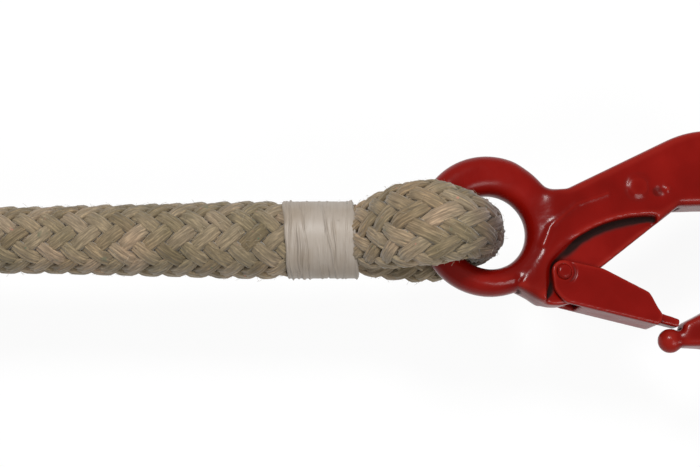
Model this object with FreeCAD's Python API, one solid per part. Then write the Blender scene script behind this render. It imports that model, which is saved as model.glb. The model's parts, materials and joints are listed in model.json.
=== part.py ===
import FreeCAD, Part
import math
import os

# Spliced rope eye on a self-closing safety hook, lying on a flat surface.
# Millimetres. The rope runs along X, the hook points to +X and +Z is up.
# The hook is drawn flat, with its ring's hole at the middle. It is then tilted: its
# ring hangs in the rope eye, above the floor, and the far edge of its bow comes down.

# Rope
ROPE_RADIUS = 12.0           # plain hollow braid
SPLICE_RADIUS = 14.0         # braid swollen by the tail buried in it
TAPED_RADIUS = 13.1          # braid squeezed under a tape
ROUNDEST_SECTION = 0.98      # depth over width, where the rope is bent or squeezed
TAIL_RADIUS = 4.8
TAIL_TIP_RADIUS = 1.6
TAIL_CLEARANCE = 0.2
TAIL_LENGTH = 112.0          # tail of the eye that holds the hook
FAR_TAIL_LENGTH = 60.0
TAIL_EVEN_SHARE = 0.35       # of a tail, before it tapers
PLAIN_LENGTH = 17.6          # rope with no tail buried in it
SHOULDER_LENGTH = 8.0        # from a tape to the fullest part of the splice

# Tape seizings
TAPE_LENGTH = 25.0
TAPE_THICKNESS = 0.55
TAPE_ROLL_RADIUS = 0.45      # rolled edge on the eye's side
TAPE_CLEARANCE = 0.05

# Rope eye round the hook's ring, in an upright plane
LEG_HALF_WIDTH = 12.6        # at the throat
LEG_HALF_DEPTH = 6.6
CROWN_HALF_WIDTH = 14.2      # over the ring's bar
CROWN_SIDE_CLEARANCE = 2.6   # to each side, in the ring's hole
HOOK_ASIDE = 0.9             # the hook hangs a little off the rope's middle
CROWN_HALF_DEPTH = 8.75
CROWN_CLEARANCE = 0.7        # between the crown and the ring's bar
THROAT_LENGTH = 27.2         # from the tape to the middle of the bar
SOFT_GAP = 0.15              # half the gap between the two legs at the throat

# Far rope eye, lying flat
FAR_HALF_WIDTH = 12.0        # upright half size of its section
FAR_HALF_DEPTH = 10.0        # level half size of its section
FAR_BEND_RADIUS = 28.0
FAR_REACH = 60.0             # from its throat to the middle of its bend

# Hook ring
HOLE_RADIUS = 13.1
RING_RADIUS = 24.9
RING_OFFSET = 2.3            # the ring is thicker on the arm's side
RING_THICKNESS = 12.4
RING_ROUNDING = 5.6
ROUNDING_LIMIT = 0.475       # most of the bar's thickness that a rounding may take

# Hook body
BODY_THICKNESS = 15.0
BODY_ROUNDING = 2.6
WEB_THICKNESS = 8.0
BOW_CENTRE = (81.7, -0.45)
BOW_RADIUS = 38.8
BOWL_CENTRE = (79.5, -7.0)
BOWL_RADIUS = 17.8
FLOOR_CLEARANCE = 0.2        # under the bow, where the hook lies down
BOW_SIDE_ANGLE = 10.0        # of a point midway along the bow's arc
ARM_START = (27.0, 15.4)
ARM_ROOT = [(18.0, 15.4), (19.0, 0.0), (8.0, -19.5)]   # inside the ring's metal
HEEL = (14.0, -23.0)         # where the lug leaves the ring
MOUTH_ANGLE = 38.0
MOUTH_END = 67.5             # along the hook, where the mouth's slope ends
MOUTH_CLEARANCE = 0.7        # from the mouth's slope to the gate's spine, open
LUG_MIDDLE_SHARE = 0.533     # of the way from the heel to the corner, where the lug is deepest
LUG_BEYOND_SPINE = 1.0       # its depth there, past the gate's outer wall
LUG_CORNER_INSIDE = 0.5      # at the gate's side, short of the gate's outer wall
NOSE_AHEAD = 5.89            # beyond the gate's cheeks
NOSE_BELOW = 13.43           # under the pin, square to the gate
NOSE_RADIUS = 4.4
TIP_TO_NOSE = 4.3            # from the tip's end face to the nose's centre
TIP_RISE = 6.2               # of the tip's end face above the nose's centre
TIP_HALF_THICKNESS = 4.9
TIP_ROUNDING = 2.0
TIP_STEP = 0.3               # where the neck leaves the tip's end face
TIP_STEP_LENGTH = 0.5
TIP_OVERLAP = 4.0            # of the drawn-out tip with the bow
TIP_INSET = 0.08             # the tip's root lies this far inside the bow's surface
NECK_HALF_THICKNESS = 3.2
NECK_UNDERCUT = 0.6          # the neck is shallower below
PAD_CENTRE = (52.0, 16.2)
PAD_RADIUS = 3.6
PAD_HEIGHT = 0.9
DIMPLE_CENTRE = (59.2, 14.6)
DIMPLE_RADIUS = 2.4
DIMPLE_DEPTH = 1.2
BUMP_CENTRE = (62.6, 15.8)
BUMP_RADIUS = 1.5
BUMP_SINK = 0.4              # of its centre below the face
RECESS_GAP = 2.0             # from the cheek's round end to the recess's wall
RECESS_WALL_TOP = (1.0, 2.5)         # from the recess's wall and from the pin
RECESS_SHOULDER_START = (2.6, 4.6)   # the same
RECESS_SHOULDER_MIDDLE = (11.3, 15.8)    # from the pin
RECESS_SHOULDER_END = (34.0, 20.6)       # from the pin
RECESS_WALL_DEPTH = 9.0      # below the pin
RECESS_TIP_CLEARANCE = 8.0   # from the recess to the tip's end face
RECESS_MOUTH = -20.0         # a level inside the hook's open mouth
OUTSIDE = 45.0               # beyond the hook, where a cut may end

# Gate, its pin and its spring
PIN_CENTRE = (24.7, -14.4)
PIN_RADIUS = 2.25
PIN_CLEARANCE = 0.05
PIN_HEAD_RADIUS = 2.9
PIN_HEAD_HEIGHT = 0.8
PIN_HEAD_GAP = 0.1
GATE_SLOPE = -12.66          # degrees, closed
CHEEK_THICKNESS = 2.6
CHEEK_GAP = 0.35
CHEEK_RADIUS = 4.2           # round the pin
SPINE_OUTER = 10.3           # from the pin to the gate's outer wall
SPINE_WALL = 2.6
SPINE_START = 8.6            # along the gate, from the pin
GATE_LENGTH = 37.0
CREST = (13.5, 4.58)         # of a cheek, along the gate and above the pin
BROW_BACK = 6.1              # from the gate's end
BROW_ABOVE = 0.33
GATE_END_HIGH = -4.8         # the round end of a cheek, square to the gate
GATE_END_MIDDLE = -7.8
GATE_END_SLANT = 1.7
GATE_END_ROUND = 1.2
GATE_HEEL = 3.0              # along the gate, where a cheek's heel turns up
GATE_HEEL_MIDDLE = (0.2, 1.6)
GATE_HEEL_SIDE = (0.6, 6.0)
END_WALL = 5.0               # thicker stretch of the spine at the gate's end
END_WALL_STEP = 1.2
TONGUE_OVERHANG = 7.4        # beyond the cheeks
TONGUE_ROOT = 6.0            # inside the cheeks
TONGUE_LOW = -8.6
TONGUE_HIGH = -5.6
TONGUE_ROOT_HIGH = -5.3
TONGUE_SHOULDER = (1.4, -4.9)
TONGUE_HALF_THICKNESS = 3.0
SPRING_WIRE = 0.6            # radius
SPRING_COIL_RADIUS = 3.5     # to the middle of the wire
SPRING_COILS = 3
SPRING_PITCH = 1.35
SPRING_POCKET_RADIUS = 5.0
SPRING_POCKET_DEPTH = 6.2
SPRING_LEG_LENGTH = 17.0
SPRING_LEG_GAP = 0.25
SPRING_END_GAP = 0.4         # from the coil to the pocket's floor
SPRING_SLOT_GAP = 0.3        # over and under the leg
SPRING_SWEEP = 24.0          # how high its slot opens, at the mouth
SPRING_SWEEP_START = (4.0, 12.0)
SPRING_SLOT_REACH = 30.0
ELBOW_SWELL = 1.05           # of the ball at the leg's root, times the wire
PIN_HEAD_TAPER = 0.75

# Places that follow from the sizes above
BAR_WIDTH = RING_RADIUS - HOLE_RADIUS
BAR_REACH = max(RING_THICKNESS, BAR_WIDTH) / 2
BAR_ROUNDING = min(RING_ROUNDING, ROUNDING_LIMIT * min(RING_THICKNESS, BAR_WIDTH))
BAR_MIDDLE = -(HOLE_RADIUS + BAR_WIDTH / 2)
CROWN_RADIUS = BAR_REACH + CROWN_CLEARANCE + CROWN_HALF_DEPTH
CROWN_SQUEEZE = CROWN_HALF_WIDTH - (HOLE_RADIUS - CROWN_SIDE_CLEARANCE)
SWING_HEIGHT = CROWN_RADIUS + CROWN_HALF_DEPTH
BOW_REACH = BOW_CENTRE[0] + BOW_RADIUS - BAR_MIDDLE
ROPE_HEIGHT = SPLICE_RADIUS
THROAT_X = -THROAT_LENGTH
STANDING_LENGTH = TAIL_LENGTH + FAR_TAIL_LENGTH + PLAIN_LENGTH + 2 * TAIL_CLEARANCE
FAR_THROAT_X = THROAT_X - STANDING_LENGTH
LEG_OFFSET = LEG_HALF_DEPTH + SOFT_GAP
PIN_HALF_LENGTH = WEB_THICKNESS / 2 + CHEEK_GAP + CHEEK_THICKNESS + PIN_HEAD_GAP
LUG_DEPTH = SPINE_OUTER + LUG_BEYOND_SPINE
LUG_CORNER_DEPTH = SPINE_OUTER - LUG_CORNER_INSIDE
PIN_TO_MOUTH = SPINE_OUTER - SPINE_WALL - MOUTH_CLEARANCE
TONGUE_REACH = GATE_LENGTH + TONGUE_OVERHANG

X_AXIS = FreeCAD.Vector(1, 0, 0)
Y_AXIS = FreeCAD.Vector(0, 1, 0)
Z_AXIS = FreeCAD.Vector(0, 0, 1)


def vec(x, y, z=0.0):
    return FreeCAD.Vector(x, y, z)


def line(start, end):
    return Part.LineSegment(vec(*start), vec(*end)).toShape()


def arc(start, middle, end):
    return Part.Arc(vec(*start), vec(*middle), vec(*end)).toShape()


def on_circle(centre, radius, degrees):
    """A point of a circle in the hook's plane."""
    angle = math.radians(degrees)
    return (centre[0] + radius * math.cos(angle), centre[1] + radius * math.sin(angle))


def gate_point(along, above):
    """A point given along the closed gate, from the pin, and square to it."""
    angle = math.radians(GATE_SLOPE)
    return (PIN_CENTRE[0] + along * math.cos(angle) - above * math.sin(angle),
            PIN_CENTRE[1] + along * math.sin(angle) + above * math.cos(angle))


def plate(edges, low, high):
    """An outline in the hook's plane, made solid between two heights."""
    face = Part.Face(Part.Wire(edges))
    face.translate(vec(0, 0, low))
    return face.extrude(vec(0, 0, high - low))


def closed_lines(points):
    pairs = zip(points, points[1:] + points[:1])
    return [line(start, end) for start, end in pairs]


def ellipse_wire(centre, wide_axis, half_wide, deep_axis, half_deep):
    """A cross-section of the rope."""
    half_deep = min(half_deep, half_wide * ROUNDEST_SECTION)
    wide_point = centre + wide_axis * half_wide
    deep_point = centre + deep_axis * half_deep
    return Part.Wire([Part.Ellipse(wide_point, deep_point, centre).toShape()])


def loft(sections, ruled=False):
    return Part.makeLoft(sections, True, ruled)


# ---------------------------------------------------------------- rope

def turned_profile(points, height):
    """A solid turned about the rope's axis, from (place along X, radius) points."""
    corners = [vec(x, 0, height + radius) for x, radius in points]
    corners.append(corners[0])
    face = Part.Face(Part.makePolygon(corners))
    return face.revolve(vec(0, 0, height), X_AXIS, 360)


def tail(start_x, length, direction):
    """The buried end of the rope, tapered so that the splice has no step."""
    cylinder_length = length * TAIL_EVEN_SHARE
    end_x = start_x + direction * length
    middle_x = start_x + direction * cylinder_length
    return turned_profile(
        [(start_x, 0), (start_x, TAIL_RADIUS), (middle_x, TAIL_RADIUS),
         (end_x, TAIL_TIP_RADIUS), (end_x, 0)], ROPE_HEIGHT)


def rope_standing():
    """The braid from throat to throat, with room in it for the two tails."""
    near_tape = THROAT_X - TAPE_LENGTH
    far_tape = FAR_THROAT_X + TAPE_LENGTH
    near_full = near_tape - SHOULDER_LENGTH
    far_full = far_tape + SHOULDER_LENGTH
    near_plain = THROAT_X - TAIL_LENGTH - TAIL_CLEARANCE
    far_plain = FAR_THROAT_X + FAR_TAIL_LENGTH + TAIL_CLEARANCE
    outside = [(THROAT_X, TAPED_RADIUS), (near_tape, TAPED_RADIUS),
               (near_full, SPLICE_RADIUS), (near_plain, ROPE_RADIUS),
               (far_plain, ROPE_RADIUS), (far_full, SPLICE_RADIUS),
               (far_tape, TAPED_RADIUS), (FAR_THROAT_X, TAPED_RADIUS)]
    ends = [(FAR_THROAT_X, 0), (THROAT_X, 0)]
    braid = turned_profile(outside + ends, ROPE_HEIGHT)
    bore = TAIL_RADIUS + TAIL_CLEARANCE
    near_bore = Part.makeCylinder(bore, THROAT_X - near_plain, vec(near_plain, 0, ROPE_HEIGHT), X_AXIS)
    far_bore = Part.makeCylinder(bore, far_plain - FAR_THROAT_X, vec(FAR_THROAT_X, 0, ROPE_HEIGHT), X_AXIS)
    return braid.cut(near_bore).cut(far_bore)


def tape(end_x, direction):
    """A seizing: a sleeve of tape with one rolled edge, at the throat's side."""
    inner = TAPED_RADIUS + TAPE_CLEARANCE
    outer = inner + TAPE_THICKNESS
    start_x = end_x + direction * TAPE_LENGTH
    sleeve = turned_profile(
        [(start_x, inner), (start_x, outer), (end_x, outer), (end_x, inner)], ROPE_HEIGHT)
    roll_x = end_x + direction * TAPE_ROLL_RADIUS
    roll = Part.makeTorus(outer, TAPE_ROLL_RADIUS, vec(roll_x, 0, ROPE_HEIGHT), X_AXIS)
    return sleeve.fuse(roll)


def crown_section(degrees):
    """The rope's section where it turns round the bar; 90 degrees is on top of the bar."""
    angle = math.radians(degrees)
    outwards = vec(math.cos(angle), 0, math.sin(angle))
    squeeze = CROWN_SQUEEZE * max(0.0, math.cos(angle))
    centre = vec(0, 0, SWING_HEIGHT) + outwards * CROWN_RADIUS
    return ellipse_wire(centre, Y_AXIS, CROWN_HALF_WIDTH - squeeze, outwards, CROWN_HALF_DEPTH)


def leg_tangent(side):
    """The angle at which a leg leaves the bar, heading for the throat."""
    throat_x = THROAT_X
    throat_z = ROPE_HEIGHT + side * LEG_OFFSET - SWING_HEIGHT
    distance = math.hypot(throat_x, throat_z)
    towards = math.degrees(math.atan2(throat_z, throat_x)) % 360
    spread = math.degrees(math.acos(CROWN_RADIUS / distance))
    return towards - spread if side > 0 else towards + spread - 360


def crown(first, last):
    count = 12
    step = (last - first) / count
    return loft([crown_section(first + step * number) for number in range(count + 1)])


def leg(side, end_degrees):
    """One leg of the eye, from the throat to where it meets the bar."""
    throat = vec(THROAT_X, 0, ROPE_HEIGHT + side * LEG_OFFSET)
    start = ellipse_wire(throat, Y_AXIS, LEG_HALF_WIDTH, Z_AXIS, LEG_HALF_DEPTH)
    return loft([start, crown_section(end_degrees)], True)


def far_section(degrees):
    """The far eye's section; 180 degrees is the end of its bend."""
    angle = math.radians(degrees)
    outwards = vec(math.cos(angle), math.sin(angle), 0)
    centre = vec(FAR_THROAT_X - FAR_REACH, 0, FAR_HALF_WIDTH) + outwards * FAR_BEND_RADIUS
    return ellipse_wire(centre, Z_AXIS, FAR_HALF_WIDTH, outwards, FAR_HALF_DEPTH)


def far_tangent():
    distance = math.hypot(FAR_REACH, LEG_OFFSET)
    towards = math.degrees(math.atan2(LEG_OFFSET, FAR_REACH))
    return towards + math.degrees(math.acos(FAR_BEND_RADIUS / distance))


def far_bight():
    start = far_tangent()
    section = Part.Face(far_section(start))
    middle = vec(FAR_THROAT_X - FAR_REACH, 0, 0)
    return section.revolve(middle, Z_AXIS, 360 - 2 * start)


def far_leg(side):
    throat = vec(FAR_THROAT_X, side * LEG_OFFSET, ROPE_HEIGHT)
    start = ellipse_wire(throat, Z_AXIS, LEG_HALF_WIDTH, Y_AXIS, LEG_HALF_DEPTH)
    return loft([start, far_section(side * far_tangent())], True)


# ---------------------------------------------------------------- hook

def ring():
    """A round-edged disc with a bell-mouthed hole."""
    half = RING_THICKNESS / 2
    disc = Part.makeCylinder(RING_RADIUS, RING_THICKNESS, vec(0, RING_OFFSET, -half))
    return disc.makeFillet(BAR_ROUNDING, [edge for edge in disc.Edges if len(edge.Vertexes) == 1])


def ring_hole():
    """The tool that cuts the hole, with its edges flared round."""
    reach = BODY_THICKNESS
    half = RING_THICKNESS / 2
    flat = half - BAR_ROUNDING
    radius = HOLE_RADIUS + BAR_ROUNDING
    middle = BAR_ROUNDING * math.sqrt(0.5)
    hole = Part.makeCylinder(radius, 2 * reach, vec(0, 0, -reach))
    bead_edges = [line((radius, 0, -half), (radius, 0, half)),
                  arc((radius, 0, half), (radius - middle, 0, flat + middle), (HOLE_RADIUS, 0, flat)),
                  line((HOLE_RADIUS, 0, flat), (HOLE_RADIUS, 0, -flat)),
                  arc((HOLE_RADIUS, 0, -flat), (radius - middle, 0, -flat - middle),
                      (radius, 0, -half))]
    bead = Part.Face(Part.Wire(bead_edges)).revolve(vec(0, 0, 0), Z_AXIS, 360)
    return hole.cut(bead)


def nose_centre():
    """The ball nose sits under the gate's tongue."""
    return gate_point(GATE_LENGTH + NOSE_AHEAD, -NOSE_BELOW)


def tip_corner():
    """The inner corner of the tip's end face, beyond the tongue."""
    nose = nose_centre()
    return (nose[0] + TIP_TO_NOSE, nose[1] + TIP_RISE)


def mouth_start():
    """Where the mouth's sloped edge begins, square to the pin."""
    return on_circle(PIN_CENTRE, PIN_TO_MOUTH, MOUTH_ANGLE - 90)


def mouth_end():
    start = mouth_start()
    rise = (MOUTH_END - start[0]) * math.tan(math.radians(MOUTH_ANGLE))
    return (MOUTH_END, start[1] + rise)


def arm_tangent():
    """Where the arm's straight back runs into the bow."""
    run = ARM_START[0] - BOW_CENTRE[0]
    rise = ARM_START[1] - BOW_CENTRE[1]
    towards = math.degrees(math.atan2(rise, run))
    spread = math.degrees(math.acos(BOW_RADIUS / math.hypot(run, rise)))
    return on_circle(BOW_CENTRE, BOW_RADIUS, towards - spread)


def body_outline():
    lug_right = mouth_start()
    lug_low = (lug_right[0], PIN_CENTRE[1] - LUG_CORNER_DEPTH)
    lug_middle_x = HEEL[0] + LUG_MIDDLE_SHARE * (lug_low[0] - HEEL[0])
    lug_middle = (lug_middle_x, PIN_CENTRE[1] - LUG_DEPTH)
    bowl_top = on_circle(BOWL_CENTRE, BOWL_RADIUS, 90)
    bowl_side = on_circle(BOWL_CENTRE, BOWL_RADIUS, 0)
    bowl_low = on_circle(BOWL_CENTRE, BOWL_RADIUS, -90)
    cut_x = BOWL_CENTRE[0] - TIP_OVERLAP
    tip_inside = (cut_x, tip_inner(cut_x))
    tip_outside = (cut_x, BOW_CENTRE[1] - BOW_RADIUS)
    bow_low = on_circle(BOW_CENTRE, BOW_RADIUS, -90)
    bow_side = on_circle(BOW_CENTRE, BOW_RADIUS, BOW_SIDE_ANGLE)
    back = arm_tangent()
    root_high, root_middle, root_low = ARM_ROOT
    return [line(root_low, HEEL), arc(HEEL, lug_middle, lug_low), line(lug_low, lug_right),
            line(lug_right, mouth_end()), line(mouth_end(), bowl_top),
            arc(bowl_top, bowl_side, bowl_low), line(bowl_low, tip_inside),
            line(tip_inside, tip_outside), line(tip_outside, bow_low),
            arc(bow_low, bow_side, back), line(back, ARM_START),
            line(ARM_START, root_high), line(root_high, root_middle),
            line(root_middle, root_low)]


def web_recess(low, high):
    """The hollow beside the web in which a cheek of the gate swings."""
    pin_x, pin_y = PIN_CENTRE
    wall_x = pin_x - CHEEK_RADIUS - RECESS_GAP
    wall_top = (wall_x + RECESS_WALL_TOP[0], pin_y + RECESS_WALL_TOP[1])
    shoulder_start = (wall_x + RECESS_SHOULDER_START[0], pin_y + RECESS_SHOULDER_START[1])
    shoulder_middle = (pin_x + RECESS_SHOULDER_MIDDLE[0], pin_y + RECESS_SHOULDER_MIDDLE[1])
    shoulder_end = (pin_x + RECESS_SHOULDER_END[0], pin_y + RECESS_SHOULDER_END[1])
    mouth = (tip_corner()[0] - RECESS_TIP_CLEARANCE, RECESS_MOUTH)
    wall_low = (wall_x, pin_y - RECESS_WALL_DEPTH)
    outside = [(BOWL_CENTRE[0] / 2, -OUTSIDE), (wall_x, -OUTSIDE)]
    edges = [line(outside[1], wall_low), line(wall_low, wall_top), line(wall_top, shoulder_start),
             arc(shoulder_start, shoulder_middle, shoulder_end),
             line(shoulder_end, mouth), line(mouth, outside[0]), line(outside[0], outside[1])]
    return plate(edges, low, high)


def tip_inner(x):
    """The tip's inner edge, a straight slope from the bowl to the gate's tongue."""
    bowl_low = BOWL_CENTRE[1] - BOWL_RADIUS
    edge, top = tip_corner()
    slope = (bowl_low - top) / (BOWL_CENTRE[0] - edge)
    return top + slope * (x - edge)


def round_section(x, low, high, half, rounding):
    """A round-cornered section of the hook, square to its length."""
    turn = rounding * (1 - math.sqrt(0.5))
    corners = [(high, half, -1, -1), (high, -half, -1, 1), (low, -half, 1, 1), (low, half, 1, -1)]
    arcs = []
    for y, z, into_y, into_z in corners:
        along_y = (x, y + into_y * rounding, z)
        middle = (x, y + into_y * turn, z + into_z * turn)
        along_z = (x, y, z + into_z * rounding)
        ends = (along_y, along_z) if into_y == into_z else (along_z, along_y)
        arcs.append(arc(ends[0], middle, ends[1]))
    edges = []
    for number, corner in enumerate(arcs):
        following = arcs[(number + 1) % len(arcs)]
        start = corner.lastVertex().Point
        end = following.firstVertex().Point
        edges += [corner, Part.LineSegment(start, end).toShape()]
    return Part.Wire(edges)


def tip():
    """The drawn-out tip: it tapers from the bow to a neck that carries the ball nose."""
    outer = BOW_CENTRE[1] - BOW_RADIUS
    root = BOWL_CENTRE[0]
    nose = nose_centre()
    edge, top = tip_corner()
    neck_top = nose[1] + NECK_HALF_THICKNESS
    neck_low = nose[1] - NECK_HALF_THICKNESS + NECK_UNDERCUT
    root_half = BODY_THICKNESS / 2 - TIP_INSET
    root_inner = tip_inner(root) - TIP_INSET
    step_half = TIP_HALF_THICKNESS - TIP_STEP
    return loft([round_section(root, outer + TIP_INSET, root_inner, root_half, BODY_ROUNDING),
                 round_section(edge, outer + 2 * TIP_INSET, top, TIP_HALF_THICKNESS, TIP_ROUNDING),
                 round_section(edge - TIP_STEP_LENGTH, outer + TIP_STEP, neck_top + TIP_STEP,
                               step_half, TIP_ROUNDING),
                 round_section(nose[0], neck_low, neck_top, NECK_HALF_THICKNESS, TIP_ROUNDING)], True)


def ball_nose():
    """The ball at the end of the neck, with its seam turned away from the neck."""
    ball = Part.makeSphere(NOSE_RADIUS)
    ball.rotate(vec(0, 0, 0), Z_AXIS, 180)
    ball.translate(vec(*nose_centre()))
    return ball


def flat_outline_edges(solid, half):
    """The edges of a plate's two faces."""
    def lies_flat(edge):
        box = edge.BoundBox
        return abs(box.ZMax - box.ZMin) < 1e-6 and abs(abs(box.ZMax) - half) < 1e-6
    return [edge for edge in solid.Edges if lies_flat(edge)]


def hook_body():
    half = BODY_THICKNESS / 2
    web = WEB_THICKNESS / 2
    body = plate(body_outline(), -half, half)
    body = body.makeFillet(BODY_ROUNDING, flat_outline_edges(body, half))
    body = body.fuse(tip())
    body = body.fuse(ring()).cut(ring_hole())
    body = body.cut(web_recess(web, 2 * half)).cut(web_recess(-2 * half, -web))
    body = body.fuse(ball_nose())
    body = body.fuse(Part.makeCylinder(PAD_RADIUS, half + PAD_HEIGHT, vec(*PAD_CENTRE)))
    ball_height = half + DIMPLE_RADIUS - DIMPLE_DEPTH
    body = body.cut(Part.makeSphere(DIMPLE_RADIUS, vec(*DIMPLE_CENTRE, ball_height)))
    body = body.fuse(Part.makeSphere(BUMP_RADIUS, vec(*BUMP_CENTRE, half - BUMP_SINK)))
    body = body.cut(Part.makeCylinder(PIN_RADIUS, 4 * half, vec(*PIN_CENTRE, -2 * half)))
    return body.cut(spring_pocket())


def spring_pocket():
    """A blind round pocket for the coil, with a slot that lets its leg swing."""
    floor = web_floor()
    low = -BODY_THICKNESS
    pocket = Part.makeCylinder(SPRING_POCKET_RADIUS, floor - low, vec(*PIN_CENTRE, low))
    slot_edges = closed_lines([PIN_CENTRE, gate_point(0, -SPINE_OUTER),
                               gate_point(SPRING_SLOT_REACH, -SPINE_OUTER),
                               gate_point(SPRING_SLOT_REACH, SPRING_SWEEP),
                               gate_point(*SPRING_SWEEP_START)])
    leg_low = spring_start() - SPRING_WIRE - SPRING_SLOT_GAP
    leg_high = spring_start() + SPRING_WIRE + SPRING_SLOT_GAP
    return pocket.fuse(plate(slot_edges, leg_low, leg_high))


def web_floor():
    return -WEB_THICKNESS / 2 + SPRING_POCKET_DEPTH


def spring_start():
    """The height of the spring's first coil, low in the pocket."""
    return web_floor() - SPRING_END_GAP - SPRING_WIRE - SPRING_PITCH * SPRING_COILS


def cheek_outline():
    left = on_circle(PIN_CENTRE, CHEEK_RADIUS, 190)
    over = on_circle(PIN_CENTRE, CHEEK_RADIUS, 135)
    top = on_circle(PIN_CENTRE, CHEEK_RADIUS, 80)
    crest = gate_point(*CREST)
    brow = gate_point(GATE_LENGTH - BROW_BACK, BROW_ABOVE)
    end_top = gate_point(GATE_LENGTH - GATE_END_SLANT, GATE_END_HIGH)
    end_middle = gate_point(GATE_LENGTH, GATE_END_MIDDLE)
    end_low = gate_point(GATE_LENGTH - GATE_END_ROUND, -SPINE_OUTER)
    heel = gate_point(GATE_HEEL, -SPINE_OUTER)
    heel_middle = gate_point(GATE_HEEL_MIDDLE[0], GATE_HEEL_MIDDLE[1] - SPINE_OUTER)
    heel_side = (left[0] + GATE_HEEL_SIDE[0], PIN_CENTRE[1] - GATE_HEEL_SIDE[1])
    return [arc(left, over, top), line(top, crest), line(crest, brow), line(brow, end_top),
            arc(end_top, end_middle, end_low), line(end_low, heel),
            arc(heel, heel_middle, heel_side), line(heel_side, left)]


def gate():
    """A channel that straddles the web: two cheeks, a spine and a stop tongue."""
    inner = WEB_THICKNESS / 2 + CHEEK_GAP
    outer = inner + CHEEK_THICKNESS
    spine_inside = -SPINE_OUTER + SPINE_WALL
    beyond = 2 * SPINE_OUTER
    shell = plate(cheek_outline(), -outer, outer)
    wall_start = GATE_LENGTH - END_WALL
    channel = closed_lines([gate_point(-beyond, -beyond), gate_point(SPINE_START, -beyond),
                            gate_point(SPINE_START, spine_inside),
                            gate_point(wall_start, spine_inside),
                            gate_point(wall_start, spine_inside + END_WALL_STEP),
                            gate_point(GATE_LENGTH + beyond, spine_inside + END_WALL_STEP),
                            gate_point(GATE_LENGTH + beyond, beyond), gate_point(-beyond, beyond)])
    shell = shell.cut(plate(channel, -inner, inner))
    root = GATE_LENGTH - TONGUE_ROOT
    shoulder = gate_point(GATE_LENGTH - TONGUE_SHOULDER[0], TONGUE_SHOULDER[1])
    tongue = closed_lines([gate_point(root, TONGUE_LOW), gate_point(TONGUE_REACH, TONGUE_LOW),
                           gate_point(TONGUE_REACH, TONGUE_HIGH), shoulder,
                           gate_point(root, TONGUE_ROOT_HIGH)])
    shell = shell.fuse(plate(tongue, -TONGUE_HALF_THICKNESS, TONGUE_HALF_THICKNESS))
    return shell.cut(Part.makeCylinder(PIN_RADIUS + PIN_CLEARANCE, 4 * outer, vec(*PIN_CENTRE, -2 * outer)))


def gate_pin():
    """A plain pin with a low button head at each end."""
    pin = Part.makeCylinder(PIN_RADIUS, 2 * PIN_HALF_LENGTH, vec(*PIN_CENTRE, -PIN_HALF_LENGTH))
    for side in (1, -1):
        base = vec(*PIN_CENTRE, side * PIN_HALF_LENGTH)
        head = Part.makeCone(PIN_HEAD_RADIUS, PIN_HEAD_RADIUS * PIN_HEAD_TAPER, PIN_HEAD_HEIGHT,
                             base, Z_AXIS * side)
        pin = pin.fuse(head)
    return pin


def gate_spring():
    """A wire coil round the pin, with one leg along the gate's spine."""
    height = SPRING_PITCH * SPRING_COILS
    start_angle = GATE_SLOPE - 90
    helix = Part.makeHelix(SPRING_PITCH, height, SPRING_COIL_RADIUS)
    helix.rotate(vec(0, 0, 0), Z_AXIS, start_angle)
    helix.translate(vec(*PIN_CENTRE, spring_start()))
    leg_start = gate_point(0, -SPRING_COIL_RADIUS)
    leg_drop = SPINE_OUTER - SPINE_WALL - SPRING_COIL_RADIUS - SPRING_WIRE - SPRING_LEG_GAP
    leg_end = gate_point(SPRING_LEG_LENGTH, -SPRING_COIL_RADIUS - leg_drop)
    start = vec(*leg_start, spring_start())
    coil_section = Part.Wire([Part.Circle(start, X_AXIS, SPRING_WIRE).toShape()])
    coil = Part.Wire(helix).makePipeShell([coil_section], True, True)
    along = vec(leg_end[0] - leg_start[0], leg_end[1] - leg_start[1])
    leg_wire = Part.makeCylinder(SPRING_WIRE, along.Length, start, along)
    elbow = Part.makeSphere(SPRING_WIRE * ELBOW_SWELL, start)
    return coil.fuse([leg_wire, elbow])


def hook_tilt():
    """The slope, in degrees, at which the bow's far edge comes down to the floor."""
    half = BODY_THICKNESS / 2
    drop = SWING_HEIGHT - FLOOR_CLEARANCE
    return math.degrees(math.asin(drop / math.hypot(BOW_REACH, half)) - math.atan2(half, BOW_REACH))


def hung(shape):
    """Puts a piece drawn in the hook's plane where the hook lies."""
    shape = shape.copy()
    shape.translate(vec(-BAR_MIDDLE, HOOK_ASIDE, SWING_HEIGHT))
    shape.rotate(vec(0, 0, SWING_HEIGHT), Y_AXIS, hook_tilt())
    return shape


# ---------------------------------------------------------------- assembly

def assembly():
    top_angle = leg_tangent(1)
    low_angle = leg_tangent(-1)
    return {
        "rope_standing": rope_standing(),
        "rope_tail": tail(THROAT_X, TAIL_LENGTH, -1),
        "far_rope_tail": tail(FAR_THROAT_X, FAR_TAIL_LENGTH, 1),
        "seizing_tape": tape(THROAT_X, -1),
        "far_seizing_tape": tape(FAR_THROAT_X, 1),
        "eye_upper_leg": leg(1, top_angle),
        "eye_crown": crown(low_angle, top_angle),
        "eye_lower_leg": leg(-1, low_angle),
        "far_eye_left_leg": far_leg(1),
        "far_eye_right_leg": far_leg(-1),
        "far_eye_bight": far_bight(),
        "hook_body": hung(hook_body()),
        "gate": hung(gate()),
        "gate_pin": hung(gate_pin()),
        "gate_spring": hung(gate_spring()),
    }


def centred(shapes):
    """Moves the assembly so that the middle of its underside is the origin."""
    box = Part.Compound(list(shapes.values())).optimalBoundingBox(False)
    shift = vec(-(box.XMin + box.XMax) / 2, -(box.YMin + box.YMax) / 2, -box.ZMin)
    for shape in shapes.values():
        shape.translate(shift)
    return shift


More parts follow.
